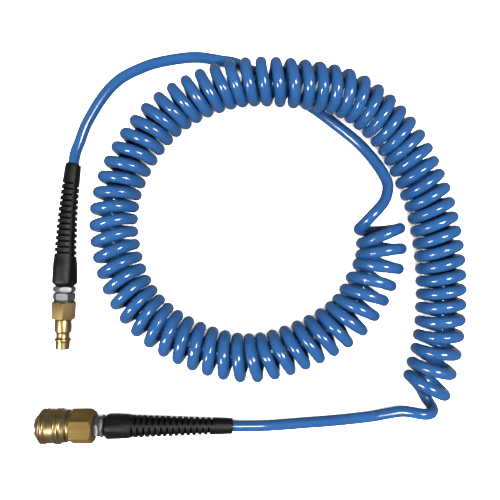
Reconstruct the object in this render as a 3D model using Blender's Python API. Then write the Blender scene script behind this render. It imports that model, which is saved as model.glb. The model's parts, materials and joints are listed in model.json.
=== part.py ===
"""Coiled polyurethane air hose with a quick coupler, a quick plug and bend reliefs, in metres, +Z up.

The hose lies on the floor in one large loop. Outlines and routes are written in
millimetres and scaled by MM where the meshes are made. Each fitting is modelled along its
own +X, from its free end towards the hose, and stands under an empty that places it.
"""

import math

import bmesh
import bpy
from mathutils import Matrix, Vector

MM = 0.001
GAP = 0.3
SIDES = 18
FINE_SIDES = 28
SMALL_SIDES = 12

# Hose
HOSE_RADIUS = 4.0
COIL_RADIUS = 17.4
HOSE_POINT_SPACING = 19.0
COIL_POINT_SPACING = 24.0

# Each fitting: where its free end lies, its heading, and the stations of its swivel and relief
COUPLER = {
    "name": "coupler",
    "free_end": (-69.2, -88.4, 12.65),
    "heading": 0.0,
    "washer": (41.35, 41.75),
    "stem_hex": (41.9, 45.4),
    "barb_hex": (45.8, 48.4),
    "relief": (48.7, 140.2),
    "relief_bend": (-1.0, -3.6),
    "hex_turns": (10.0, 34.0),
}
PLUG = {
    "name": "plug",
    "free_end": (-52.1, -33.6, 9.3),
    "heading": 88.2,
    "washer": (34.7, 35.4),
    "stem_hex": (35.7, 41.0),
    "barb_hex": (41.4, 45.6),
    "relief": (45.9, 134.5),
    "relief_bend": (-2.8, -2.8),
    "hex_turns": (5.0, 24.0),
}
RELIEF_STRAIGHT = 20.0  # the stiff end of a relief, over the barb and its ferrule
RELIEF_BORE = 4.6
FERRULE_BORE = 5.7
SWIVEL_FLATS = 14.0
BARB_LENGTH = 16.0
SHAFT_LENGTH = 9.0
SPIGOT_LENGTH = 6.0

# Plug profile, for 7.2 mm couplings
PLUG_BORE = 3.6
PLUG_HEX = (21.9, 34.4)
PLUG_FLATS = 16.0
SMALL_CHAMFERS = (0.8, 0.8)  # of the plug's and the swivels' hexagons

# Coupler
SOCKET_RADIUS = 6.15
SLEEVE_TRAVEL = 2.6
BALL_COUNT = 6
BALL_RADIUS = 1.8
BALL_STATION = 9.5
BALL_CIRCLE = 6.8
BALL_TRAVEL = 1.2
SLEEVE_LAND = BALL_CIRCLE + BALL_RADIUS + 0.35
ADAPTER_HEX = (25.6, 41.2)
ADAPTER_CHAMFERS = (0.3, 2.0)
ADAPTER_TURN = 0.0
ADAPTER_FLATS = 22.0
SPIGOT_RADIUS = 6.3
THREAD_RADIUS = SPIGOT_RADIUS + GAP

# Routes, chosen by hand. The coil's middle line rises where the hose passes under it.
COIL_ROUTE = [
    (174.9, 55.8, 17.4), (176.7, 40.5, 17.4), (172.1, 21.0, 17.4), (149.7, -12.5, 17.4),
    (102.7, -35.4, 17.4), (64.5, -36.0, 17.4), (20.8, -16.4, 17.4), (-4.4, 15.4, 17.4),
    (-13.0, 59.4, 17.4), (-2.8, 98.5, 17.4), (24.2, 133.6, 17.6), (64.6, 152.9, 21.8),
    (105.7, 154.6, 26.1), (154.2, 146.7, 21.5), (186.8, 120.4, 17.6), (204.7, 87.7, 17.4),
    (213.9, 59.4, 17.4), (219.0, 20.9, 17.4), (217.0, -25.4, 17.4), (207.8, -60.9, 17.4),
]
PLUG_TAIL_ROUTE = [
    (-44.1, 108.6, 5.5), (-40.9, 118.2, 4.4), (-35.7, 131.8, 4.0), (-24.6, 150.1, 4.0),
    (-12.2, 163.2, 4.0), (3.7, 171.6, 4.0), (18.7, 176.4, 4.0), (42.5, 179.7, 4.0),
    (62.3, 177.2, 4.0), (76.4, 174.0, 4.0), (102.1, 160.1, 4.0), (131.4, 141.4, 4.0),
    (147.3, 129.5, 4.2), (162.8, 116.3, 6.0), (174.0, 102.4, 9.5), (180.7, 89.7, 14.0),
    (181.7, 82.3, 17.0), (178.5, 73.3, 21.5), (173.1, 66.8, 25.0), (167.3, 60.8, 25.6),
]
COUPLER_TAIL_ROUTE = [
    (210.1, -65.8, 4.8), (212.2, -69.1, 4.2), (215.0, -73.8, 6.5),
    (215.4, -76.5, 11.5), (212.1, -78.1, 17.0), (205.5, -77.8, 19.5), (198.6, -77.0, 17.5),
    (192.0, -77.5, 13.5), (181.6, -80.8, 8.6), (171.2, -83.8, 5.2), (147.1, -86.8, 4.0),
    (122.7, -88.7, 4.0), (98.4, -90.3, 4.8), (83.7, -90.1, 6.8),
]

COLOURS = {
    "blue_polyurethane": ((0.045, 0.14, 0.42), 0.22, 0.0),
    "black_rubber": ((0.012, 0.012, 0.013), 0.45, 0.0),
    "seal_rubber": ((0.02, 0.02, 0.02), 0.6, 0.0),
    "brass": ((0.62, 0.42, 0.14), 0.28, 1.0),
    "nickel": ((0.62, 0.62, 0.62), 0.2, 1.0),
    "spring_steel": ((0.42, 0.42, 0.44), 0.35, 1.0),
}


def clear_scene():
    for leftover in list(bpy.data.objects):
        bpy.data.objects.remove(leftover)


def make_materials():
    """One Principled material for each colour, by name."""
    made = {}
    for name, (colour, roughness, metallic) in COLOURS.items():
        material = bpy.data.materials.new(name)
        material.use_nodes = True
        shader = material.node_tree.nodes["Principled BSDF"]
        shader.inputs["Base Color"].default_value = (*colour, 1.0)
        shader.inputs["Roughness"].default_value = roughness
        shader.inputs["Metallic"].default_value = metallic
        made[name] = material
    return made


def make_object(name, bm, material, parent):
    """A node from a bmesh, shaded smooth between its sharp edges."""
    bmesh.ops.recalc_face_normals(bm, faces=bm.faces)
    mesh = bpy.data.meshes.new(name)
    bm.to_mesh(mesh)
    bm.free()
    mesh.shade_smooth()
    mesh.set_sharp_from_angle(angle=math.radians(35))
    mesh.materials.append(material)
    made = bpy.data.objects.new(name, mesh)
    bpy.context.scene.collection.objects.link(made)
    made.parent = parent
    return made


def turned_shape(outline, sides):
    """The outline of (along, radius) points spun about X. It may start and end on the axis."""
    bm = bmesh.new()
    ring = [bm.verts.new((along * MM, 0, radius * MM)) for along, radius in outline]
    edges = [bm.edges.new(pair) for pair in zip(ring, ring[1:])]
    if outline[0][1] > 0:
        edges.append(bm.edges.new((ring[-1], ring[0])))
    bmesh.ops.spin(
        bm, geom=ring + edges, cent=(0, 0, 0), axis=(1, 0, 0), angle=math.tau, steps=sides, use_merge=True
    )
    bmesh.ops.remove_doubles(bm, verts=bm.verts, dist=1e-7)
    return bm


def turned(name, outline, material, parent, sides=SIDES):
    return make_object(name, turned_shape(outline, sides), material, parent)


def plain_cylinder(start, end, radius):
    return [(start, 0), (start, radius), (end, radius), (end, 0)]


def tube(start, end, bore, radius):
    return [(start, bore), (start, radius), (end, radius), (end, bore)]


def ring_seal(name, station, major, minor, material, parent):
    """An O-ring of round section."""
    section = [
        (station + minor * math.cos(math.tau * i / 6), major + minor * math.sin(math.tau * i / 6))
        for i in range(6)
    ]
    return turned(name, section, material, parent)


def chamfered_hex(name, span, flats, chamfers, turn_degrees, material, parent):
    """A hexagon bar along X, its two ends turned off to a cone."""
    start, end = span
    corner = flats / math.sqrt(3)
    bm = bmesh.new()
    bmesh.ops.create_cone(
        bm, cap_ends=True, segments=6, radius1=corner * MM, radius2=corner * MM, depth=(end - start) * MM
    )
    middle = Matrix.Translation(((start + end) / 2 * MM, 0, 0))
    tilt = Matrix.Rotation(math.radians(turn_degrees), 4, "X") @ Matrix.Rotation(math.pi / 2, 4, "Y")
    bmesh.ops.transform(bm, matrix=middle @ tilt, verts=bm.verts)
    hexagon = make_object(name, bm, material, parent)
    over = 1.0
    face = flats / 2 - 0.2
    wide = corner + over
    first, last = (chamfer * (1 + over / (corner - face)) for chamfer in chamfers)
    outline = [(start, 0), (start, face), (start + first, wide), (end - last, wide), (end, face), (end, 0)]
    apply_shape(hexagon, outline, "INTERSECT", FINE_SIDES)
    return hexagon


def apply_shape(target, outline, operation, sides=SIDES):
    """A Boolean with a turned shape, whose object stays hidden."""
    cutter = turned(f"{target.name}_{operation.lower()}_{len(target.modifiers)}", outline, None, None, sides)
    cutter.parent = target
    hide(cutter)
    add_boolean(target, cutter, operation)


def add_boolean(target, cutter, operation):
    modifier = target.modifiers.new(f"{operation.lower()}_{len(target.modifiers)}", "BOOLEAN")
    modifier.object = cutter
    modifier.operation = operation
    modifier.solver = "EXACT"


def hide(helper):
    helper.hide_render = True
    helper.display_type = "WIRE"


def round_cutters(name, parent, holes):
    """Plain rods, each (middle, direction, radius, length) in millimetres, as one hidden cutter."""
    bm = bmesh.new()
    for middle, direction, radius, length in holes:
        turn = Vector(direction).to_track_quat("Z", "Y").to_matrix().to_4x4()
        bmesh.ops.create_cone(
            bm, cap_ends=True, segments=SMALL_SIDES, radius1=radius * MM, radius2=radius * MM, depth=length * MM,
            matrix=Matrix.Translation(Vector(middle) * MM) @ turn,
        )
    cutter = make_object(name, bm, None, parent)
    hide(cutter)
    return cutter


def helical_spring(name, span, mean_radius, wire_radius, turns, material, parent):
    """A wire of five sides wound about X, in ten steps a turn."""
    steps, sides = turns * 10, 5
    start, end = span
    bm = bmesh.new()
    rings = []
    for step in range(steps + 1):
        angle = math.tau * step / 10
        radial = Vector((0, math.cos(angle), math.sin(angle)))
        along = start + wire_radius + (end - start - 2 * wire_radius) * step / steps
        tangent = Vector(((end - start) / (math.tau * turns), *(mean_radius * v for v in radial.yz.orthogonal())))
        across = tangent.normalized().cross(radial)
        middle = Vector((along, 0, 0)) + radial * mean_radius
        ring = []
        for side in range(sides):
            turn = math.tau * side / sides
            ring.append(bm.verts.new((middle + wire_radius * (radial * math.cos(turn) + across * math.sin(turn))) * MM))
        rings.append(ring)
    for first, second in zip(rings, rings[1:]):
        for side in range(sides):
            following = (side + 1) % sides
            bm.faces.new((first[side], first[following], second[following], second[side]))
    bm.faces.new(rings[0])
    bm.faces.new(rings[-1])
    return make_object(name, bm, material, parent)


def smooth_route(points, spacing):
    """Evenly spaced points on a Catmull-Rom curve through the given points."""
    points = [Vector(point) for point in points]
    padded = [2 * points[0] - points[1], *points, 2 * points[-1] - points[-2]]
    dense = []
    for a, b, c, d in zip(padded, padded[1:], padded[2:], padded[3:]):
        for step in range(16):
            t = step / 16
            dense.append(
                (2 * b + (c - a) * t + (2 * a - 5 * b + 4 * c - d) * t**2 + (3 * b - a - 3 * c + d) * t**3) / 2
            )
    dense.append(points[-1])
    lengths = [0.0]
    for a, b in zip(dense, dense[1:]):
        lengths.append(lengths[-1] + (b - a).length)
    count = round(lengths[-1] / spacing)
    even, at = [], 0
    for step in range(count + 1):
        wanted = lengths[-1] * step / count
        while at < len(dense) - 2 and lengths[at + 1] < wanted:
            at += 1
        share = (wanted - lengths[at]) / (lengths[at + 1] - lengths[at])
        even.append(dense[at].lerp(dense[at + 1], share))
    return even


def round_cord(name, points, radius, material):
    """A solid tube of about ten sides along the points."""
    curve = bpy.data.curves.new(name, "CURVE")
    curve.dimensions = "3D"
    curve.bevel_depth = radius * MM
    curve.bevel_resolution = 3
    curve.use_fill_caps = True
    spline = curve.splines.new("POLY")
    spline.points.add(len(points) - 1)
    for control, point in zip(spline.points, points):
        control.co = (*(point * MM), 1.0)
    curve.materials.append(material)
    made = bpy.data.objects.new(name, curve)
    bpy.context.scene.collection.objects.link(made)
    return made


def relief_middle(fitting, along):
    """The relief's middle line in the fitting's own axes: straight at first, then bending to its mouth."""
    start, mouth = fitting["relief"]
    side, drop = fitting["relief_bend"]
    bent = max(0.0, (along - start - RELIEF_STRAIGHT) / (mouth - start - RELIEF_STRAIGHT)) ** 2
    return Vector((along, side * bent, drop * bent))


def placed(fitting, point):
    turn = Matrix.Rotation(math.radians(fitting["heading"]), 3, "Z")
    return Vector(fitting["free_end"]) + turn @ point


def make_relief(fitting, material, parent):
    """A tapered rubber sleeve with a wide stiff end, bent along its middle line."""
    start, mouth = fitting["relief"]
    step_at = start + RELIEF_STRAIGHT
    stations = [step_at + (mouth - step_at) * i / 5 for i in range(6)]
    taper = [(at, 7.9 - 2.3 * (at - step_at) / (mouth - step_at)) for at in stations]
    outer = [(start, 7.0), (start + 1.9, 9.0), (step_at - 1.5, 8.0), *taper]
    inner = [(at, RELIEF_BORE) for at in reversed(stations)]
    inner += [(step_at - 0.5, FERRULE_BORE), (start, FERRULE_BORE)]
    bm = turned_shape(outer + inner, SIDES)
    for vert in bm.verts:
        along = vert.co.x / MM
        middle = relief_middle(fitting, along)
        ahead = relief_middle(fitting, along + 0.5)
        behind = relief_middle(fitting, along - 0.5)
        turn = Vector((1, 0, 0)).rotation_difference(ahead - behind)
        vert.co = middle * MM + turn @ Vector((0, vert.co.y, vert.co.z))
    make_object(f"{fitting['name']}_bend_relief", bm, material, parent)


def make_swivel(fitting, materials, parent):
    """The swivelling end: threaded stem, barb with its seal and circlip, ferrule and gripped hose end."""
    name = fitting["name"]
    stem_start, stem_end = fitting["stem_hex"]
    barb_start, barb_end = fitting["barb_hex"]
    stem_turn, barb_turn = fitting["hex_turns"]
    shaft_start = barb_start - SHAFT_LENGTH
    spigot_start = stem_start - SPIGOT_LENGTH
    bearing = 4.1
    shaft = bearing - GAP

    turned(f"{name}_thread_washer", tube(*fitting["washer"], SPIGOT_RADIUS + 0.2, 7.2),
           materials["seal_rubber"], parent)

    stem = chamfered_hex(f"{name}_swivel_stem", fitting["stem_hex"], SWIVEL_FLATS, SMALL_CHAMFERS, stem_turn,
                         materials["nickel"], parent)
    apply_shape(stem, plain_cylinder(spigot_start, stem_start + 0.5, SPIGOT_RADIUS), "UNION")
    chamber_end = shaft_start + 2.6
    apply_shape(
        stem,
        [(spigot_start - 2, 0), (spigot_start - 2, 5.2), (chamber_end, 5.2), (chamber_end, bearing),
         (stem_end + 1, bearing), (stem_end + 1, 0)],
        "DIFFERENCE",
    )

    barb = chamfered_hex(f"{name}_hose_barb", fitting["barb_hex"], SWIVEL_FLATS, SMALL_CHAMFERS, barb_turn,
                         materials["nickel"], parent)
    clip_groove = (shaft_start + 0.8, shaft_start + 2.0)
    seal_groove = (shaft_start + 4.2, shaft_start + 6.0)
    front = [(shaft_start, 0), (shaft_start, shaft)]
    for groove, depth in ((clip_groove, 3.2), (seal_groove, 2.9)):
        front += [(groove[0], shaft), (groove[0], depth), (groove[1], depth), (groove[1], shaft)]
    front += [(barb_start + 0.5, shaft), (barb_start + 0.5, 0)]
    apply_shape(barb, front, "UNION", SMALL_SIDES)
    teeth = [(barb_end - 0.5, 0), (barb_end - 0.5, 2.5)]
    tooth_length = 3.4
    for tooth in range(4):
        root = barb_end + 2.0 + tooth_length * tooth
        teeth += [(root, 2.5), (root, 2.95), (root + tooth_length - 0.2, 2.55)]
    teeth += [(barb_end + BARB_LENGTH, 2.4), (barb_end + BARB_LENGTH, 0)]
    apply_shape(barb, teeth, "UNION", SMALL_SIDES)
    apply_shape(barb, plain_cylinder(shaft_start - 1, barb_end + BARB_LENGTH + 1, 1.8), "DIFFERENCE", SMALL_SIDES)

    clip = turned(f"{name}_swivel_circlip", tube(clip_groove[0] + 0.2, clip_groove[1] - 0.2, 3.5, 4.9),
                  materials["spring_steel"], parent)
    opening = round_cutters(f"{name}_circlip_opening", parent,
                            [((shaft_start + 1.4, 0, 4.6), (1, 0, 0), 1.4, 4.0)])
    add_boolean(clip, opening, "DIFFERENCE")
    ring_seal(f"{name}_swivel_seal", sum(seal_groove) / 2, 3.5, 0.45, materials["seal_rubber"], parent)
    hose_start, hose_end = barb_end + 0.3, barb_end + BARB_LENGTH
    turned(f"{name}_hose_end", tube(hose_start, hose_end, 3.25, 4.35), materials["blue_polyurethane"], parent)
    turned(f"{name}_clamp_ferrule", tube(hose_start + 1, hose_end - 2, 4.65, 5.3), materials["nickel"], parent)


def make_plug(materials, parent):
    """The plug's nipple: tip, locking bead, groove, seal cylinder and hexagon with its threaded socket."""
    nipple = chamfered_hex("plug_nipple", PLUG_HEX, PLUG_FLATS, SMALL_CHAMFERS, -18.0, materials["brass"], parent)
    profile = [
        (0, 0), (0, 4.6), (0.5, 5.0), (5.7, 5.0), (6.3, 5.9), (7.6, 5.9), (8.4, 4.8), (11.7, 4.8),
        (12.9, 6.0), (PLUG_HEX[0] - 0.6, 6.0), (PLUG_HEX[0] + 0.5, 6.0), (PLUG_HEX[0] + 0.5, 0),
    ]
    apply_shape(nipple, profile, "UNION")
    thread_start = PLUG["stem_hex"][0] - SPIGOT_LENGTH - GAP
    bore = [
        (-1, 0), (-1, PLUG_BORE), (thread_start - 1.5, PLUG_BORE), (thread_start, THREAD_RADIUS),
        (PLUG_HEX[1] + 1, THREAD_RADIUS), (PLUG_HEX[1] + 1, 0),
    ]
    apply_shape(nipple, bore, "DIFFERENCE")


def make_barrel(materials, parent):
    """The coupler's inner tube, which holds the balls, the seal and the valve."""
    collar_start, collar_end = 21.4, ADAPTER_HEX[0] - GAP
    outline = [
        (0, SOCKET_RADIUS + 0.5), (0, 7.6), (1.2, 7.6), (1.2, 7.0), (2.4, 7.0), (2.4, 7.6), (6.5, 7.6),
        (6.8, 8.6), (collar_start, 8.6), (collar_start, 10.5), (collar_end, 10.5), (collar_end, 9.0),
        (33.0, 9.0), (33.0, 7.0), (18.2, 7.0), (17.6, 5.7), (16.6, 5.7), (16.6, 7.2), (14.0, 7.2),
        (14.0, SOCKET_RADIUS), (0.5, SOCKET_RADIUS),
    ]
    barrel = turned("coupler_barrel", outline, materials["brass"], parent, FINE_SIDES)
    holes = [
        ((BALL_STATION, *(BALL_CIRCLE * v for v in ball_direction(index))), (0, *ball_direction(index)),
         BALL_RADIUS + 0.2, 5.0)
        for index in range(BALL_COUNT)
    ]
    add_boolean(barrel, round_cutters("ball_holes", parent, holes), "DIFFERENCE")


def ball_direction(index):
    angle = math.tau * (index + 0.5) / BALL_COUNT
    return math.cos(angle), math.sin(angle)


def make_balls(materials, parent):
    for index in range(BALL_COUNT):
        bm = bmesh.new()
        bmesh.ops.create_icosphere(bm, subdivisions=2, radius=BALL_RADIUS * MM)
        ball = make_object(f"lock_ball_{index + 1}", bm, materials["spring_steel"], parent)
        y, z = ball_direction(index)
        ball.location = Vector((BALL_STATION, BALL_CIRCLE * y, BALL_CIRCLE * z)) * MM


def make_sleeve(materials, parent):
    """The release sleeve, with grip ridges outside and the balls' ramp inside."""
    outer = [(1.7, 8.95), (2.4, 10.4), (3.3, 11.5)]
    for ridge in (4.7, 7.4, 15.0, 17.5):
        outer += [(ridge - 1.0, 11.9), (ridge, 12.65), (ridge + 1.0, 11.9)]
    outer += [(19.3, 11.4), (22.6, 11.4)]
    ramp_end = BALL_STATION - SLEEVE_TRAVEL
    inner = [
        (22.6, 10.85), (13.0, 10.85), (12.8, SLEEVE_LAND), (BALL_STATION, SLEEVE_LAND),
        (ramp_end, SLEEVE_LAND + BALL_TRAVEL), (3.5, SLEEVE_LAND + BALL_TRAVEL), (3.5, 7.9),
        (2.7, 7.9), (2.7, 8.95),
    ]
    turned("coupler_sleeve", outer + inner, materials["brass"], parent, FINE_SIDES)


def make_valve(materials, parent):
    """The shut-off valve: poppet on its stem, face seal, spring and the guide that the stem slides in."""
    poppet = [
        (17.4, 0), (17.4, 4.2), (18.9, 4.2), (18.9, 5.0), (20.1, 6.3), (20.9, 6.3), (20.9, 3.0),
        (22.4, 3.0), (22.4, 1.5), (31.2, 1.5), (31.2, 0),
    ]
    turned("valve_poppet", poppet, materials["brass"], parent)
    ring_seal("valve_seal", 18.3, 5.0, 0.42, materials["seal_rubber"], parent)
    helical_spring("valve_spring", (21.2, 28.7), 4.4, 0.45, 5, materials["spring_steel"], parent)
    guide = turned("valve_guide", tube(29.0, 30.6, 1.8, 6.7), materials["brass"], parent)
    passages = [((29.8, 4.3 * y, 4.3 * z), (1, 0, 0), 1.5, 4.0) for y, z in map(ball_direction, range(4))]
    add_boolean(guide, round_cutters("guide_passages", parent, passages), "DIFFERENCE")


def make_coupler(materials, parent):
    adapter = chamfered_hex(
        "coupler_adapter", ADAPTER_HEX, ADAPTER_FLATS, ADAPTER_CHAMFERS, ADAPTER_TURN, materials["brass"], parent,
    )
    thread_start = COUPLER["stem_hex"][0] - SPIGOT_LENGTH - GAP
    socket_end = 34.6
    bore = [
        (ADAPTER_HEX[0] - 1, 0), (ADAPTER_HEX[0] - 1, 9.3), (socket_end, 9.3), (socket_end, 5.6),
        (thread_start - 0.5, 5.6), (thread_start, THREAD_RADIUS), (ADAPTER_HEX[1] + 1, THREAD_RADIUS),
        (ADAPTER_HEX[1] + 1, 0),
    ]
    apply_shape(adapter, bore, "DIFFERENCE", FINE_SIDES)
    ring_seal("adapter_seal", 33.8, 8.2, 0.45, materials["seal_rubber"], parent)
    make_barrel(materials, parent)
    make_balls(materials, parent)
    make_sleeve(materials, parent)
    helical_spring("sleeve_spring", (13.4, 21.1), 9.8, 0.55, 5, materials["spring_steel"], parent)
    turned("sleeve_retaining_ring", tube(1.3, 2.3, 7.3, 8.6), materials["spring_steel"], parent)
    ring_seal("plug_seal", 15.3, 6.2, 0.85, materials["seal_rubber"], parent)
    make_valve(materials, parent)


def tail_start(fitting):
    """Points from the end of the barb to just before the relief's mouth."""
    first = fitting["barb_hex"][1] + BARB_LENGTH + GAP
    mouth = fitting["relief"][1]
    stations = [first + (mouth - first) * i / 4 for i in range(5)]
    return [placed(fitting, relief_middle(fitting, at)) for at in stations]


def make_hose(material):
    """The coil as its outer shape, and the plain stretch of hose at each of its ends."""
    plug_tail = tail_start(PLUG) + [Vector(point) for point in PLUG_TAIL_ROUTE]
    round_cord("hose_tail_plug_side", smooth_route(plug_tail, HOSE_POINT_SPACING), HOSE_RADIUS, material)
    round_cord("hose_coil", smooth_route(COIL_ROUTE, COIL_POINT_SPACING), COIL_RADIUS, material)
    coupler_tail = [Vector(point) for point in COUPLER_TAIL_ROUTE] + tail_start(COUPLER)[::-1]
    round_cord("hose_tail_coupler_side", smooth_route(coupler_tail, HOSE_POINT_SPACING), HOSE_RADIUS, material)


def main():
    clear_scene()
    materials = make_materials()
    make_hose(materials["blue_polyurethane"])
    for fitting, make_end in ((PLUG, make_plug), (COUPLER, make_coupler)):
        axis = bpy.data.objects.new(f"{fitting['name']}_axis", None)
        bpy.context.scene.collection.objects.link(axis)
        axis.location = Vector(fitting["free_end"]) * MM
        axis.rotation_euler.z = math.radians(fitting["heading"])
        make_end(materials, axis)
        make_swivel(fitting, materials, axis)
        make_relief(fitting, materials["black_rubber"], axis)


main()
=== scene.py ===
"""Fine surfaces, materials, light and camera for the coiled air hose, built round its CAD frame.

Outlines and routes are in millimetres and scaled by MM where the meshes are made. A fitting's
pieces are modelled along its own +X, from its free end towards the hose.
"""

import json
import math

import bmesh
import bpy
from mathutils import Matrix, Vector


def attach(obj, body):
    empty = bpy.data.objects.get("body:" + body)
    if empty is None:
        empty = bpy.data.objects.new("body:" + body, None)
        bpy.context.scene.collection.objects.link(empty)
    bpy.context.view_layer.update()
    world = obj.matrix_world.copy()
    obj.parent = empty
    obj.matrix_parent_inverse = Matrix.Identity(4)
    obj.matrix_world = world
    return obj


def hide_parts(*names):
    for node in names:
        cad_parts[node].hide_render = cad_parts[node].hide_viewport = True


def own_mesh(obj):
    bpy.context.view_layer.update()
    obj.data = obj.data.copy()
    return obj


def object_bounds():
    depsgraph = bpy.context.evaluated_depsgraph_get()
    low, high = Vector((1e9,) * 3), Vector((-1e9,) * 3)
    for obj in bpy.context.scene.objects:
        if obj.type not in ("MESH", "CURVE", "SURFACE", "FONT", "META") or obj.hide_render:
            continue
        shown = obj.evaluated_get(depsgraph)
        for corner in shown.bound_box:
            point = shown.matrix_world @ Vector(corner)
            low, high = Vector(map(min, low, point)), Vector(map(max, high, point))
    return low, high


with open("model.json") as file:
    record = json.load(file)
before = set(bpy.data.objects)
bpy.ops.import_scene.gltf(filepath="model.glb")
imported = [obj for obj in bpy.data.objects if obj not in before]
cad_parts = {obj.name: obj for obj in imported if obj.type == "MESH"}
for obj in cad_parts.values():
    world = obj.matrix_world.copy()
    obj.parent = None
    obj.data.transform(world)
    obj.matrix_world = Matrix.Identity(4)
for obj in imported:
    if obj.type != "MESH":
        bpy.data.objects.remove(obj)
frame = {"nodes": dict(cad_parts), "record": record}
cad_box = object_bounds()

MM = 0.001

HOSE_RADIUS = 4.0
WINDING_RADIUS = 13.4
TURNS = 74
HOSE_SIDES = 20
STEPS_PER_TURN = 34
ROUTE_STEPS = 12  # points between two of a tail's route points
TAIL_SPACING = 2.6

COUPLER = {
    "name": "coupler",
    "free_end": (-69.2, -88.4, 12.65),
    "heading": 0.0,
    "washer": (41.35, 41.75),
    "stem_hex": (41.9, 45.4),
    "barb_hex": (45.8, 48.4),
    "relief": (48.7, 140.2),
    "relief_bend": (-1.0, -3.6),
    "hex_turns": (10.0, 34.0),
    "slots": (20.5, 14),
    "spine_turn": -16.0,
    "facet_turn": 24.0,
}
PLUG = {
    "name": "plug",
    "free_end": (-52.1, -33.6, 9.3),
    "heading": 88.2,
    "washer": (34.7, 35.4),
    "stem_hex": (35.7, 41.0),
    "barb_hex": (41.4, 45.6),
    "relief": (45.9, 134.5),
    "relief_bend": (-2.8, -2.8),
    "hex_turns": (5.0, 24.0),
    "slots": (22.0, 13),
    "spine_turn": 42.0,
    "facet_turn": -6.0,
}

COIL_ROUTE = [
    (174.9, 55.8, 17.4), (176.7, 40.5, 17.4), (172.1, 21.0, 17.4), (149.7, -12.5, 17.4),
    (102.7, -35.4, 17.4), (64.5, -36.0, 17.4), (20.8, -16.4, 17.4), (-4.4, 15.4, 17.4),
    (-13.0, 59.4, 17.4), (-2.8, 98.5, 17.4), (24.2, 133.6, 17.6), (64.6, 152.9, 21.8),
    (105.7, 154.6, 26.1), (154.2, 146.7, 21.5), (186.8, 120.4, 17.6), (204.7, 87.7, 17.4),
    (213.9, 59.4, 17.4), (219.0, 20.9, 17.4), (217.0, -25.4, 17.4), (207.8, -60.9, 17.4),
]
PLUG_TAIL_ROUTE = [
    (-44.1, 108.6, 5.5), (-40.9, 118.2, 4.4), (-35.7, 131.8, 4.0), (-24.6, 150.1, 4.0),
    (-12.2, 163.2, 4.0), (3.7, 171.6, 4.0), (18.7, 176.4, 4.0), (42.5, 179.7, 4.0),
    (62.3, 177.2, 4.0), (76.4, 174.0, 4.0), (102.1, 160.1, 4.0), (131.4, 141.4, 4.0),
    (147.3, 129.5, 4.2), (162.8, 116.3, 6.0), (174.0, 102.4, 9.5), (180.7, 89.7, 14.0),
    (181.7, 82.3, 17.0), (178.5, 73.3, 21.5), (173.1, 66.8, 25.0), (168.7, 62.4, 26.0),
    (165.3, 58.6, 24.6),
]
COUPLER_TAIL_ROUTE = [
    (202.0, -55.8, 11.5), (207.5, -61.8, 6.5), (212.2, -69.1, 4.2), (215.0, -73.8, 6.5),
    (215.4, -76.5, 11.5), (212.1, -78.1, 17.0), (205.5, -77.8, 19.5), (198.6, -77.0, 17.5),
    (192.0, -77.5, 13.5), (181.6, -80.8, 8.6), (171.2, -83.8, 5.2), (147.1, -86.8, 4.0),
    (122.7, -88.7, 4.0), (98.4, -90.3, 4.8), (83.7, -90.1, 6.8),
]
# Share of the coil's guide line, and the distance between neighbouring turns there
COIL_PITCH = [
    (0.0, 10.9), (0.08, 10.6), (0.12, 10.05), (0.5, 10.05), (0.58, 9.45), (0.9, 9.45), (0.94, 10.4),
    (0.97, 12.2), (1.0, 12.6),
]
# Share of the guide line, how far the turns' inner sides lead there, how far their lower sides lead, and
# how much wider than the average turn they are
COIL_LEAN = [
    (0.0, 0.6, 1.2, 0.5), (0.06, 0.4, 1.0, 0.4), (0.12, 0.0, 0.0, 0.2), (0.3, 0.0, 0.0, 0.0),
    (0.45, 0.0, 0.0, -0.5), (0.65, 0.0, 0.0, -0.4), (0.87, 0.0, 0.0, 0.0), (0.946, -1.1, 0.0, 0.1),
    (0.973, -2.0, 0.0, 0.2),
    (0.986, -3.8, 0.0, 0.3), (1.0, -7.2, 0.0, 0.4),
]
STRAIGHTENING = 0.55  # how far a turn departs from an even advance, to cross the coil in a straight line


# Camera, light and floor

CAMERA_HEIGHT = 415.0
VIEW_CENTRE = (83.7, 38.2)
VIEW_SPAN = 357.1
LENS_PLANE = 15.0


def make_camera():
    """Straight above the object, with +Y up in the picture."""
    data = bpy.data.cameras.new("camera")
    data.sensor_width = 36.0
    data.lens = data.sensor_width * (CAMERA_HEIGHT - LENS_PLANE) / VIEW_SPAN
    data.clip_end = 20.0
    camera = bpy.data.objects.new("camera", data)
    camera.location = Vector((*VIEW_CENTRE, CAMERA_HEIGHT)) * MM
    bpy.context.scene.collection.objects.link(camera)
    bpy.context.scene.camera = camera


def make_light(name, place, size, power):
    data = bpy.data.lights.new(name, "AREA")
    data.shape = "RECTANGLE"
    data.size, data.size_y = size
    data.energy = power
    light = bpy.data.objects.new(name, data)
    light.location = place
    aim = Vector((*VIEW_CENTRE, 0)) * MM - light.location
    light.rotation_euler = aim.to_track_quat("-Z", "Y").to_euler()
    bpy.context.scene.collection.objects.link(light)
    return light


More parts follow.
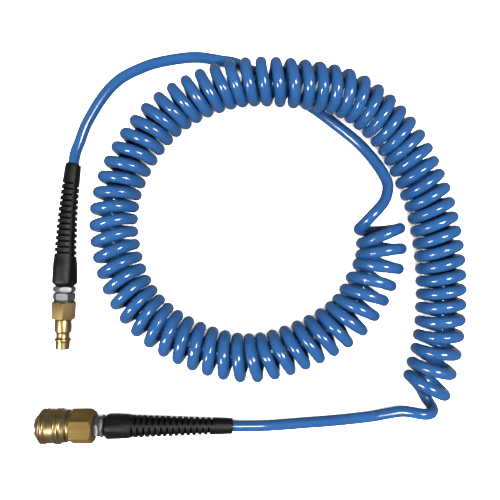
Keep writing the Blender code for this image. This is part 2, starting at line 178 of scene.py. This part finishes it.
def make_studio():
    make_light("left_softbox", (-0.56, -0.36, 0.77), (0.14, 0.14), 16.0)
    make_light("right_softbox", (0.55, 0.04, 0.95), (0.16, 0.3), 18.0)
    floor_only = make_light("floor_softbox", (0.1, 0.0, 1.5), (1.0, 1.0), 110.0)
    world = bpy.data.worlds.new("studio")
    world.use_nodes = True
    world.node_tree.nodes["Background"].inputs["Color"].default_value = (1.0, 1.0, 1.0, 1.0)
    world.node_tree.nodes["Background"].inputs["Strength"].default_value = 0.32
    bpy.context.scene.world = world
    bpy.context.scene.view_settings.view_transform = "Standard"

    mesh = bpy.data.meshes.new("floor")
    half = 3.0
    corners = [(-half, -half, 0), (half, -half, 0), (half, half, 0), (-half, half, 0)]
    mesh.from_pydata(corners, [], [(0, 1, 2, 3)])
    floor = bpy.data.objects.new("floor", mesh)
    bpy.context.scene.collection.objects.link(floor)
    floor.location.z = cad_box[0].z - 0.0002
    mesh.materials.append(make_material("floor", (0.92, 0.92, 0.92), 0.9).material)
    floor.visible_diffuse = floor.visible_glossy = False
    lit = bpy.data.collections.new("lit_by_floor_softbox")
    lit.objects.link(floor)
    floor_only.light_linking.receiver_collection = lit
    floor_only.light_linking.blocker_collection = bpy.data.collections.new("shadows_of_floor_softbox")


# Materials


class Shading:
    """A node material under construction."""

    def __init__(self, name):
        self.material = bpy.data.materials.new(name)
        self.material.use_nodes = True
        self.tree = self.material.node_tree
        self.shader = self.tree.nodes["Principled BSDF"]

    def node(self, kind, values=(), **settings):
        made = self.tree.nodes.new(kind)
        for key, value in settings.items():
            setattr(made, key, value)
        for socket, value in dict(values).items():
            made.inputs[socket].default_value = value
        return made

    def link(self, source, output, target, socket):
        self.tree.links.new(source.outputs[output], target.inputs[socket])


def make_material(name, colour, roughness, metallic=0.0):
    shading = Shading(name)
    shading.shader.inputs["Base Color"].default_value = (*colour, 1.0)
    shading.shader.inputs["Roughness"].default_value = roughness
    shading.shader.inputs["Metallic"].default_value = metallic
    return shading


def vary(shading, socket, scale, low, high, detail=4.0, stretch=(1, 1, 1)):
    """Noise between two values, or two colours, in a shader socket. Returns the noise node."""
    place = shading.node("ShaderNodeTexCoord")
    mapping = shading.node("ShaderNodeMapping", {"Scale": stretch})
    noise = shading.node("ShaderNodeTexNoise", {"Scale": scale, "Detail": detail})
    ramp = shading.node("ShaderNodeValToRGB")
    ramp.color_ramp.elements[0].position, ramp.color_ramp.elements[1].position = 0.3, 0.7
    for element, value in zip(ramp.color_ramp.elements, (low, high)):
        element.color = (*value, 1.0) if isinstance(value, tuple) else (value, value, value, 1.0)
    shading.link(place, "Object", mapping, "Vector")
    shading.link(mapping, "Vector", noise, "Vector")
    shading.link(noise, "Fac", ramp, "Fac")
    shading.link(ramp, "Color", shading.shader, socket)
    return noise


def bump(shading, source, output, distance):
    """Adds a height to the shader's normal, on top of what is linked there."""
    node = shading.node("ShaderNodeBump", {"Strength": 1.0, "Distance": distance})
    before = [link.from_socket for link in shading.shader.inputs["Normal"].links]
    for socket in before:
        shading.tree.links.new(socket, node.inputs["Normal"])
    shading.link(source, output, node, "Height")
    shading.link(node, "Normal", shading.shader, "Normal")


def polyurethane():
    """Glossy extruded tube, slightly uneven in colour, with faint lines along it."""
    shading = make_material("blue_polyurethane", (0.0125, 0.062, 0.178), 0.12)
    vary(shading, "Base Color", 30.0, (0.011, 0.055, 0.165), (0.014, 0.068, 0.19))
    vary(shading, "Roughness", 220.0, 0.08, 0.15)
    grain = shading.node("ShaderNodeTexNoise", {"Scale": 900.0, "Detail": 3.0})
    bump(shading, grain, "Fac", 0.00003)
    shader = shading.shader.inputs
    shader["IOR"].default_value = 1.5
    shader["Subsurface Weight"].default_value = 0.25
    shader["Subsurface Radius"].default_value = (0.0006, 0.0012, 0.0028)
    shader["Subsurface Scale"].default_value = 1.0
    return shading.material


def rubber(name, colour, roughness, grain_size, shine=0.2):
    shading = make_material(name, colour, roughness)
    vary(shading, "Base Color", 60.0, tuple(0.75 * c for c in colour), tuple(1.3 * c for c in colour))
    vary(shading, "Roughness", 250.0, roughness - 0.08, roughness + 0.1)
    grain = shading.node("ShaderNodeTexNoise", {"Scale": grain_size, "Detail": 5.0})
    bump(shading, grain, "Fac", 0.00008)
    shading.shader.inputs["Specular IOR Level"].default_value = shine
    return shading.material


def turned_metal(name, dark, light, roughness, groove_scale, groove_depth):
    """Metal with fine tool marks round the fitting's own X axis and slight tarnish."""
    shading = make_material(name, light, roughness, 1.0)
    vary(shading, "Base Color", 120.0, dark, light)
    vary(shading, "Roughness", 400.0, roughness - 0.05, roughness + 0.08, stretch=(6, 1, 1))
    place = shading.node("ShaderNodeTexCoord")
    waves = shading.node(
        "ShaderNodeTexWave", {"Scale": groove_scale, "Distortion": 1.5, "Detail": 2.0, "Detail Scale": 3.0},
        wave_type="BANDS", bands_direction="X",
    )
    shading.link(place, "Object", waves, "Vector")
    bump(shading, waves, "Fac", groove_depth)
    return shading.material


def milled_metal(name, dark, light, roughness):
    """Drawn hexagon bar: fine lines along the fitting's X axis."""
    shading = make_material(name, light, roughness, 1.0)
    vary(shading, "Base Color", 90.0, dark, light, stretch=(0.4, 1, 1))
    noise = vary(shading, "Roughness", 900.0, roughness - 0.06, roughness + 0.08, stretch=(0.03, 1, 1))
    bump(shading, noise, "Fac", 0.00002)
    return shading.material


def make_materials():
    return {
        "hose": polyurethane(),
        "relief": rubber("black_rubber", (0.001, 0.001, 0.0012), 0.42, 1800.0),
        # slot rubber: darker than the relief rubber, painted shade in the slots; its higher roughness and low
        # shine are the rubber's own
        "slot": rubber("slot_rubber_painted_shade", (0.0005, 0.0005, 0.0006), 0.8, 1800.0, 0.05),
        "seal": rubber("seal_rubber", (0.02, 0.02, 0.02), 0.55, 2500.0),
        "turned_brass": turned_metal(
            "turned_brass", (0.20, 0.14, 0.066), (0.31, 0.225, 0.11), 0.33, 900.0, 0.000006
        ),
        "milled_brass": milled_metal("milled_brass", (0.16, 0.108, 0.036), (0.2, 0.135, 0.046), 0.76),
        "plug_brass": milled_metal("plug_brass", (0.142, 0.1, 0.042), (0.174, 0.122, 0.053), 0.55),
        "nickel": milled_metal("nickel", (0.12, 0.12, 0.124), (0.18, 0.18, 0.184), 0.55),
        "steel": turned_metal("spring_steel", (0.34, 0.34, 0.36), (0.5, 0.5, 0.52), 0.28, 1500.0, 0.00001),
    }


SLOT_MATERIAL = {
    "blue_polyurethane": "hose",
    "black_rubber": "relief",
    "seal_rubber": "seal",
    "brass": "turned_brass",
    "nickel": "nickel",
    "spring_steel": "steel",
}


# Shape helpers


def finish_mesh(name, bm, material, matrix=None):
    bmesh.ops.recalc_face_normals(bm, faces=bm.faces)
    mesh = bpy.data.meshes.new(name)
    bm.to_mesh(mesh)
    bm.free()
    mesh.shade_smooth()
    mesh.set_sharp_from_angle(angle=math.radians(35))
    mesh.materials.append(material)
    made = bpy.data.objects.new(name, mesh)
    bpy.context.scene.collection.objects.link(made)
    if matrix is not None:
        made.matrix_world = matrix
    return made


def fitting_matrix(fitting):
    place = Matrix.Translation(Vector(fitting["free_end"]) * MM)
    return place @ Matrix.Rotation(math.radians(fitting["heading"]), 4, "Z")


def rounded(outline, radius=0.15, steps=3):
    """The outline with each corner off the axis turned into a small arc."""
    open_ended = outline[0][1] == 0
    points = [Vector(point) for point in outline]
    result = []
    for index, corner in enumerate(points):
        if open_ended and index in (0, len(points) - 1):
            result.append(corner)
            continue
        before, after = points[index - 1], points[(index + 1) % len(points)]
        reach = min(radius, (corner - before).length * 0.45, (after - corner).length * 0.45)
        first = corner + (before - corner).normalized() * reach
        last = corner + (after - corner).normalized() * reach
        for step in range(steps + 1):
            t = step / steps
            result.append(first * (1 - t) ** 2 + corner * 2 * t * (1 - t) + last * t**2)
    return [tuple(point) for point in result]


def turned_shape(outline, sides):
    """The outline spun about X. It may start and end on the axis."""
    bm = bmesh.new()
    rings = []
    for along, radius in outline:
        if radius < 1e-6:
            rings.append([bm.verts.new((along * MM, 0, 0))])
            continue
        rings.append([
            bm.verts.new((along * MM, radius * MM * math.cos(angle), radius * MM * math.sin(angle)))
            for angle in (math.tau * i / sides for i in range(sides))
        ])
    pairs = list(zip(rings, rings[1:]))
    if outline[0][1] > 0:
        pairs.append((rings[-1], rings[0]))
    for first, second in pairs:
        for i in range(sides):
            j = (i + 1) % sides
            corners = [
                first[i % len(first)], first[j % len(first)], second[j % len(second)], second[i % len(second)],
            ]
            corners = list(dict.fromkeys(corners))
            if len(corners) > 2:
                bm.faces.new(corners)
    return bm


def turned(name, outline, material, fitting, sides=96, radius=0.15):
    return finish_mesh(name, turned_shape(rounded(outline, radius), sides), material, fitting_matrix(fitting))


def tube(start, end, bore, radius):
    return [(start, bore), (start, radius), (end, radius), (end, bore)]


def boolean(target, bm, operation, material):
    """Applies a Boolean with a shape in the target's own axes."""
    cutter = finish_mesh("cutter", bm, material, target.matrix_world)
    modifier = target.modifiers.new(operation.lower(), "BOOLEAN")
    modifier.object, modifier.operation, modifier.solver = cutter, operation, "EXACT"
    modifier.material_mode = "TRANSFER"
    apply_modifiers(target)
    bpy.data.objects.remove(cutter)


def apply_modifiers(target):
    bpy.context.view_layer.update()
    evaluated = target.evaluated_get(bpy.context.evaluated_depsgraph_get())
    mesh = bpy.data.meshes.new_from_object(evaluated)
    target.modifiers.clear()
    target.data = mesh


def hexagon(name, span, flats, chamfers, turn_degrees, material, fitting):
    """A hexagon bar along X, its ends turned off to a cone."""
    start, end = span
    corner = flats / math.sqrt(3)
    bm = bmesh.new()
    bmesh.ops.create_cone(
        bm, cap_ends=True, segments=6, radius1=corner * MM, radius2=corner * MM,
        depth=(end - start + 2.0) * MM,  # longer than the turned outline that cuts its ends
    )
    middle = Matrix.Translation(((start + end) / 2 * MM, 0, 0))
    tilt = Matrix.Rotation(math.radians(turn_degrees), 4, "X") @ Matrix.Rotation(math.pi / 2, 4, "Y")
    bmesh.ops.transform(bm, matrix=middle @ tilt, verts=bm.verts)
    made = finish_mesh(name, bm, material, fitting_matrix(fitting))
    face, over = flats / 2 - 0.2, 1.0
    first, last = (chamfer * (1 + over / (corner - face)) for chamfer in chamfers)
    outline = [
        (start, 0), (start, face), (start + first, corner + over),
        (end - last, corner + over), (end, face), (end, 0),
    ]
    boolean(made, turned_shape(outline, 96), "INTERSECT", material)
    return made


def soften(target, width=0.12):
    """Small bevels on the sharp edges, so that they catch the light."""
    modifier = target.modifiers.new("bevel", "BEVEL")
    modifier.width = width * MM
    modifier.segments = 2
    modifier.limit_method = "ANGLE"
    modifier.angle_limit = math.radians(28)
    apply_modifiers(target)
    target.data.shade_smooth()
    target.data.set_sharp_from_angle(angle=math.radians(40))


def settle(piece, body, slot, *nodes):
    """The piece rides on a body and replaces CAD nodes. The slot argument is not used."""
    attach(piece, body)
    if nodes:
        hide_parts(*nodes)


# Hose


def smooth_route(points, steps=ROUTE_STEPS):
    """A dense Catmull-Rom curve through the points."""
    points = [Vector(point) for point in points]
    padded = [2 * points[0] - points[1], *points, 2 * points[-1] - points[-2]]
    dense = []
    for a, b, c, d in zip(padded, padded[1:], padded[2:], padded[3:]):
        for step in range(steps):
            t = step / steps
            dense.append(
                (2 * b + (c - a) * t + (2 * a - 5 * b + 4 * c - d) * t**2 + (3 * b - a - 3 * c + d) * t**3) / 2
            )
    dense.append(points[-1])
    return dense


def lengths_along(points):
    lengths = [0.0]
    for a, b in zip(points, points[1:]):
        lengths.append(lengths[-1] + (b - a).length)
    return lengths


def point_at(points, lengths, wanted):
    """(point, direction) at a distance along the points."""
    low, high = 0, len(lengths) - 2
    while low < high:
        middle = (low + high + 1) // 2
        if lengths[middle] <= wanted:
            low = middle
        else:
            high = middle - 1
    share = (wanted - lengths[low]) / (lengths[low + 1] - lengths[low])
    step = points[low + 1] - points[low]
    return points[low] + step * share, step.normalized()


def between(table, share):
    """The table's values at this share of the guide line."""
    for (low, *first), (high, *second) in zip(table, table[1:]):
        if share <= high:
            break
    part = min(1.0, (share - low) / (high - low))
    return [a + (b - a) * part for a, b in zip(first, second)]


def coil_points():
    """The winding: turns of the hose round the coil's guide line, from its inner side to its inner side."""
    guide = smooth_route(COIL_ROUTE, 24)
    lengths = lengths_along(guide)
    samples = 2000
    turned_so_far = [0.0]
    for index in range(samples):
        turned_so_far.append(turned_so_far[-1] + 1 / between(COIL_PITCH, (index + 0.5) / samples)[0])
    points, at = [], 0
    count = TURNS * STEPS_PER_TURN
    for step in range(count + 1):
        wanted = turned_so_far[-1] * step / count
        while at < samples - 1 and turned_so_far[at + 1] < wanted:
            at += 1
        share = (at + (wanted - turned_so_far[at]) / (turned_so_far[at + 1] - turned_so_far[at])) / samples
        middle, forward = point_at(guide, lengths, share * lengths[-1])
        outward = Vector((-forward.y, forward.x, 0)).normalized()
        up = forward.cross(outward)
        up = up if up.z > 0 else -up
        angle = math.pi + math.tau * step / STEPS_PER_TURN
        inner_lead, lower_lead, wider = between(COIL_LEAN, share)
        lead = -inner_lead * math.cos(angle) - lower_lead * math.sin(angle)
        lead -= STRAIGHTENING * math.sin(2 * angle)
        across = outward * math.cos(angle) + up * math.sin(angle)
        points.append(middle + forward * lead + Vector((0, 0, wider)) + (WINDING_RADIUS + wider) * across)
    return points


def relief_middle(fitting, along):
    """The relief's middle line in the fitting's own axes: straight at first, then bending to its mouth."""
    start, mouth = fitting["relief"]
    side, drop = fitting["relief_bend"]
    bent = max(0.0, (along - start - RELIEF_STRAIGHT) / (mouth - start - RELIEF_STRAIGHT)) ** 2
    return Vector((along, side * bent, drop * bent))


def inside_relief(fitting, depth=22.0):
    """Route points from within the relief to its mouth."""
    mouth = fitting["relief"][1]
    turn = Matrix.Rotation(math.radians(fitting["heading"]), 3, "Z")
    return [
        Vector(fitting["free_end"]) + turn @ relief_middle(fitting, mouth - depth * (1 - i / 2))
        for i in range(3)
    ]


def hose_points():
    """The whole hose, relief to relief."""
    winding = coil_points()
    first = inside_relief(PLUG) + [Vector(p) for p in PLUG_TAIL_ROUTE] + winding[:2]
    last = winding[-2:] + [Vector(p) for p in COUPLER_TAIL_ROUTE] + inside_relief(COUPLER)[::-1]
    start = resample(smooth_route(first)[:-ROUTE_STEPS], TAIL_SPACING)
    end = resample(smooth_route(last)[ROUTE_STEPS:], TAIL_SPACING)
    return start[:-1] + winding + end[1:]


def resample(points, spacing):
    lengths = lengths_along(points)
    count = max(2, round(lengths[-1] / spacing))
    return [point_at(points, lengths, lengths[-1] * i / count)[0] for i in range(count + 1)]


def swept_tube(name, points, radius, sides, material):
    """A round tube along the points, its rings carried along without twist."""
    bm = bmesh.new()
    forward = (points[1] - points[0]).normalized()
    side = forward.orthogonal().normalized()
    rings = []
    for index, point in enumerate(points):
        before, after = points[max(index - 1, 0)], points[min(index + 1, len(points) - 1)]
        forward = (after - before).normalized()
        side = (side - forward * side.dot(forward)).normalized()
        other = forward.cross(side)
        rings.append([
            bm.verts.new((point + radius * (side * math.cos(a) + other * math.sin(a))) * MM)
            for a in (math.tau * i / sides for i in range(sides))
        ])
    for first, second in zip(rings, rings[1:]):
        for i in range(sides):
            j = (i + 1) % sides
            bm.faces.new((first[i], first[j], second[j], second[i]))
    bm.faces.new(rings[0])
    bm.faces.new(rings[-1])
    return finish_mesh(name, bm, material)


def make_hose(materials):
    points = hose_points()
    hose = swept_tube("hose", points, HOSE_RADIUS, HOSE_SIDES, materials["hose"])
    settle(hose, "hose", "blue_polyurethane", "hose_tail_plug_side", "hose_coil", "hose_tail_coupler_side")


# Bend reliefs

RELIEF_STRAIGHT = 20.0
RELIEF_BORE = 4.3
RELIEF_PROFILE = [
    (0.0, 6.9), (0.25, 7.15), (1.75, 8.75), (2.3, 9.05), (3.4, 9.15), (16.5, 8.5), (19.0, 8.0), (21.0, 7.9),
]
MOUTH_RADIUS = 5.35
FLAT_DEPTH = 0.6
SLOT_PITCH = 4.15
SLOT_HALF_WIDTH = 0.6
SLOT_DEPTH = 1.4
SPINE_HALF_ANGLE = math.radians(9)
SLOT_EDGE = 0.16


def relief_radius(fitting, along, angle):
    """The sleeve's outer radius: a chamfered stiff end with six gentle flats, then a straight taper."""
    start, mouth = fitting["relief"]
    profile = RELIEF_PROFILE + [(mouth - start - 0.6, 5.6), (mouth - start, MOUTH_RADIUS)]
    for (low, first), (high, second) in zip(profile, profile[1:]):
        if along - start <= high:
            break
    radius = first + (second - first) * min(1.0, (along - start - low) / (high - low))
    fade = 1 - min(1.0, abs(along - start) / RELIEF_STRAIGHT)
    sixth = math.tau / 6
    from_facet = (angle - math.radians(fitting["facet_turn"]) + sixth / 2) % sixth - sixth / 2
    return min(radius, (radius - FLAT_DEPTH * fade) / math.cos(from_facet))


def slot_depth(fitting, along, angle):
    """How far a slot cuts in here. The two columns lie between the spines, half a pitch apart."""
    column, within = divmod(angle, math.pi)
    if not SPINE_HALF_ANGLE - 1e-6 <= within <= math.pi - SPINE_HALF_ANGLE + 1e-6:
        return 0.0
    first_slot, rows = fitting["slots"]
    row = (along - fitting["relief"][0] - first_slot) / SLOT_PITCH - column / 2
    nearest = round(row)
    if not 0 <= nearest < rows or abs(row - nearest) * SLOT_PITCH > SLOT_HALF_WIDTH + 1e-6:
        return 0.0
    return SLOT_DEPTH


def make_relief(fitting, materials):
    """A rubber sleeve with two columns of staggered slots, bent along its middle line."""
    start, mouth = fitting["relief"]
    first_slot, rows = fitting["slots"]
    stations = {start + along for along, radius in RELIEF_PROFILE}
    stations |= {start + 6.0, start + 9.5, start + 13.0, mouth - 6.0, mouth - 3.0, mouth - 0.6, mouth}
    for half_row in range(2 * rows):
        middle = start + first_slot + half_row * SLOT_PITCH / 2
        for side in (-1, 1):
            stations |= {middle + side * SLOT_HALF_WIDTH, middle + side * (SLOT_HALF_WIDTH + SLOT_EDGE)}
    angles = []
    span = math.pi - 2 * SPINE_HALF_ANGLE
    for side in (0.0, math.pi):
        angles += [side, side + SPINE_HALF_ANGLE - 0.035]
        angles += [side + SPINE_HALF_ANGLE + span * i / 26 for i in range(27)]
        angles.append(side + math.pi - SPINE_HALF_ANGLE + 0.035)
    spine_turn = math.radians(fitting["spine_turn"])
    bm = bmesh.new()
    rings, cuts = [], []

    def add_ring(along, radius_of, cut=None):
        middle = relief_middle(fitting, along)
        heading = relief_middle(fitting, along + 0.5) - relief_middle(fitting, along - 0.5)
        turn = Vector((1, 0, 0)).rotation_difference(heading)
        ring = []
        for angle in angles:
            radius, spin = radius_of(angle), angle + spine_turn
            across = Vector((0, -radius * math.sin(spin), radius * math.cos(spin)))
            ring.append(bm.verts.new((middle + turn @ across) * MM))
        rings.append(ring)
        cuts.append(cut or [0.0] * len(angles))

    for along in sorted(stations):
        cut = [slot_depth(fitting, along, angle) for angle in angles]
        depths = dict(zip(angles, cut))
        add_ring(
            along, lambda angle: relief_radius(fitting, along, angle + spine_turn) - depths[angle], cut
        )
    for along, radius in (
        (mouth, RELIEF_BORE + 0.15), (mouth - 0.4, RELIEF_BORE), (mouth - 20.0, RELIEF_BORE),
        (start + RELIEF_STRAIGHT, RELIEF_BORE), (start + RELIEF_STRAIGHT - 0.5, 5.7), (start, 5.7),
    ):
        add_ring(along, lambda angle: radius)
    for k in range(len(rings)):
        first, second = rings[k], rings[(k + 1) % len(rings)]
        for i in range(len(angles)):
            j = (i + 1) % len(angles)
            face = bm.faces.new((first[i], first[j], second[j], second[i]))
            around = (cuts[k][i], cuts[k][j], cuts[(k + 1) % len(rings)][i], cuts[(k + 1) % len(rings)][j])
            # faces at the bottom of a slot take the slot material, whose darker colour is painted shade
            face.material_index = int(min(around) > 0)
    relief = finish_mesh(f"{fitting['name']}_relief", bm, materials["relief"], fitting_matrix(fitting))
    relief.data.materials.append(materials["slot"])
    settle(relief, "hose", "black_rubber", f"{fitting['name']}_bend_relief")


# Swivel ends

SWIVEL_FLATS = 14.0
SMALL_CHAMFERS = (0.8, 0.8)
SPIGOT_LENGTH = 6.0
SHAFT_LENGTH = 9.0
BARB_LENGTH = 16.0
BARB_TEETH = 4
BARB_TOOTH_PITCH = 3.4


def make_swivel(fitting, materials):
    """The visible hexagons of the threaded stem and the barb, and the washer before them."""
    name = fitting["name"]
    stem_turn, barb_turn = fitting["hex_turns"]
    stem_start, stem_end = fitting["stem_hex"]
    barb_start, barb_end = fitting["barb_hex"]
    stem = hexagon(
        f"{name}_stem", fitting["stem_hex"], SWIVEL_FLATS, SMALL_CHAMFERS, stem_turn, materials["nickel"], fitting
    )
    spigot_start = stem_start - SPIGOT_LENGTH
    spigot = [(spigot_start, 0), (spigot_start, 6.3), (stem_start + 0.6, 6.3), (stem_start + 0.6, 0)]
    boolean(stem, turned_shape(spigot, 64), "UNION", materials["nickel"])
    chamber_end = barb_start - 6.4
    bore = [
        (spigot_start - 1, 0), (spigot_start - 1, 5.2), (chamber_end, 5.2), (chamber_end, 4.1),
        (stem_end + 1, 4.1), (stem_end + 1, 0),
    ]
    boolean(stem, turned_shape(bore, 64), "DIFFERENCE", materials["nickel"])
    soften(stem)
    settle(stem, name, "nickel", f"{name}_swivel_stem")
    barb = hexagon(
        f"{name}_barb", fitting["barb_hex"], SWIVEL_FLATS, SMALL_CHAMFERS, barb_turn, materials["nickel"], fitting
    )
    shaft_start = barb_start - SHAFT_LENGTH
    shaft = [(shaft_start, 0), (shaft_start, 3.8), (barb_start + 0.5, 3.8), (barb_start + 0.5, 0)]
    boolean(barb, turned_shape(shaft, 64), "UNION", materials["nickel"])
    teeth = [(barb_end - 0.5, 0), (barb_end - 0.5, 2.5)]
    for tooth in range(BARB_TEETH):
        root = barb_end + 2.0 + BARB_TOOTH_PITCH * tooth
        teeth += [(root, 2.5), (root, 2.95), (root + 3.2, 2.55)]
    teeth += [(barb_end + BARB_LENGTH, 2.4), (barb_end + BARB_LENGTH, 0)]
    boolean(barb, turned_shape(teeth, 48), "UNION", materials["nickel"])
    bore_start, bore_end = shaft_start - 1, barb_end + BARB_LENGTH + 1
    bore = [(bore_start, 0), (bore_start, 1.8), (bore_end, 1.8), (bore_end, 0)]
    boolean(barb, turned_shape(bore, 32), "DIFFERENCE", materials["nickel"])
    soften(barb)
    settle(barb, "hose", "nickel", f"{name}_hose_barb")
    washer = turned(f"{name}_washer", tube(*fitting["washer"], 6.5, 7.3), materials["seal"], fitting)
    settle(washer, name, "seal_rubber", f"{name}_thread_washer")


# Plug

PLUG_HEX = (21.9, 34.4)
PLUG_FLATS = 16.0
PLUG_HEX_TURN = -18.0


def make_plug(materials):
    """The nipple, one piece of brass: tip, bead, groove, cylinder and hexagon."""
    nipple = hexagon(
        "nipple", PLUG_HEX, PLUG_FLATS, SMALL_CHAMFERS, PLUG_HEX_TURN, materials["plug_brass"], PLUG
    )
    profile = rounded([
        (0, 0), (0, 4.7), (0.35, 5.0), (5.7, 5.0), (6.3, 5.9), (7.6, 5.9), (8.4, 4.8), (11.7, 4.8),
        (12.9, 6.0), (21.2, 6.0), (21.5, 5.7), (22.6, 5.7), (22.6, 0),
    ], 0.3, 4)
    boolean(nipple, turned_shape(profile, 128), "UNION", materials["turned_brass"])
    bore = [(-1, 0), (-1, 4.0), (0.1, 3.9), (0.6, 3.6), (27.9, 3.6), (29.4, 6.6), (35.4, 6.6), (35.4, 0)]
    boolean(nipple, turned_shape(bore, 96), "DIFFERENCE", materials["turned_brass"])
    soften(nipple)
    settle(nipple, "plug", "brass", "plug_nipple")


# Coupler

ADAPTER_HEX = (25.6, 41.2)
ADAPTER_FLATS = 22.0
ADAPTER_CHAMFERS = (0.3, 2.0)
ADAPTER_TURN = 0.0
BALLS = 6
BALL_RADIUS = 1.8
BALL_HOLE_RADIUS = 2.0
BALL_STATION = 9.5
BALL_CIRCLE_RADIUS = 6.8
SLEEVE_RIDGES = (4.7, 7.4, 15.0, 17.5)
# CAD node, the joint that shortens it, and that joint's stroke
SPRINGS = (("sleeve_spring", "sleeve_slide", 2.6), ("valve_spring", "valve_slide", 5.0))


def ball_direction(index):
    angle = math.tau * (index + 0.5) / BALLS
    return Vector((0, math.cos(angle), math.sin(angle)))


def ball_centre(index):
    return Vector((BALL_STATION, 0, 0)) + ball_direction(index) * BALL_CIRCLE_RADIUS


def make_coupler(materials):
    brass, steel, seal = materials["turned_brass"], materials["steel"], materials["seal"]
    adapter = hexagon(
        "adapter", ADAPTER_HEX, ADAPTER_FLATS, ADAPTER_CHAMFERS, ADAPTER_TURN, materials["milled_brass"], COUPLER
    )
    bore = [(24.6, 0), (24.6, 9.3), (34.6, 9.3), (34.6, 5.6), (35.1, 5.6), (35.6, 6.6), (42.2, 6.6), (42.2, 0)]
    boolean(adapter, turned_shape(bore, 96), "DIFFERENCE", brass)
    soften(adapter)
    settle(adapter, "coupler", "brass", "coupler_adapter")

    outline = [
        (0, 6.6), (0, 7.6), (1.2, 7.6), (1.2, 7.0), (2.4, 7.0), (2.4, 7.6), (6.5, 7.6),
        (6.8, 8.6), (21.4, 8.6), (21.4, 10.5), (23.4, 10.5), (23.7, 10.2), (24.0, 10.5), (25.3, 10.5),
        (25.3, 9.0), (33.0, 9.0), (33.0, 7.0), (18.2, 7.0), (17.6, 5.7), (16.6, 5.7), (16.6, 7.2),
        (14.0, 7.2), (14.0, 6.15), (0.5, 6.15),
    ]
    barrel = turned("barrel", outline, brass, COUPLER)
    for index in range(BALLS):
        direction = ball_direction(index)
        bm = bmesh.new()
        place = Matrix.Translation(ball_centre(index) * MM)
        bmesh.ops.create_cone(
            bm, cap_ends=True, segments=32, radius1=BALL_HOLE_RADIUS * MM, radius2=BALL_HOLE_RADIUS * MM,
            depth=5.0 * MM, matrix=place @ direction.to_track_quat("Z", "Y").to_matrix().to_4x4(),
        )
        boolean(barrel, bm, "DIFFERENCE", brass)
    settle(barrel, "coupler", "brass", "coupler_barrel")

    outer = [(1.7, 8.95), (1.9, 9.5), (2.4, 10.4), (3.0, 11.2), (3.5, 11.7)]
    for ridge in SLEEVE_RIDGES:
        outer += [
            (ridge - 1.0, 11.8), (ridge - 0.4, 12.5), (ridge, 12.65), (ridge + 0.4, 12.5), (ridge + 1.0, 11.8),
        ]
    outer += [(19.3, 11.4), (22.6, 11.4)]
    land = BALL_CIRCLE_RADIUS + BALL_RADIUS + 0.35
    inner = [
        (22.6, 10.85), (13.0, 10.85), (12.8, land), (9.5, land), (6.9, land + 1.2), (3.5, land + 1.2),
        (3.5, 7.9), (2.7, 7.9), (2.7, 8.95),
    ]
    sleeve = turned("sleeve", outer + inner, brass, COUPLER, sides=128)
    settle(sleeve, "sleeve", "brass", "coupler_sleeve")

    ring = turned("retaining_ring", tube(1.3, 2.3, 7.3, 8.6), steel, COUPLER)
    settle(ring, "coupler", "spring_steel", "sleeve_retaining_ring")
    for index in range(BALLS):
        bm = bmesh.new()
        bmesh.ops.create_uvsphere(bm, u_segments=32, v_segments=16, radius=BALL_RADIUS * MM)
        bmesh.ops.translate(bm, vec=ball_centre(index) * MM, verts=bm.verts)
        ball = finish_mesh(f"ball_{index + 1}", bm, steel, fitting_matrix(COUPLER))
        settle(ball, f"ball_{index + 1}", "spring_steel", f"lock_ball_{index + 1}")
    poppet = [
        (17.4, 0), (17.4, 4.2), (18.9, 4.2), (18.9, 5.0), (20.1, 6.3), (20.9, 6.3), (20.9, 3.0),
        (22.4, 3.0), (22.4, 1.5), (31.2, 1.5), (31.2, 0),
    ]
    settle(turned("poppet", poppet, brass, COUPLER), "valve", "brass", "valve_poppet")


def dress_cad_nodes(materials):
    """The inner CAD nodes that stay get the material of their slot."""
    slots = {part["node"]: part["material_slot"] for part in frame["record"]["subparts"]}
    for node, obj in frame["nodes"].items():
        if obj.hide_render:
            continue
        obj.data.materials.clear()
        obj.data.materials.append(materials[SLOT_MATERIAL[slots[node]]])


def squash_springs():
    """Each spring gets a mesh of its own; the springs are not shortened here."""
    for node, joint, stroke in SPRINGS:
        spring = frame["nodes"][node]
        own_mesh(spring)


make_camera()
materials = make_materials()
make_hose(materials)
make_studio()
for fitting in (PLUG, COUPLER):
    make_relief(fitting, materials)
    make_swivel(fitting, materials)
make_plug(materials)
make_coupler(materials)
dress_cad_nodes(materials)
squash_springs()
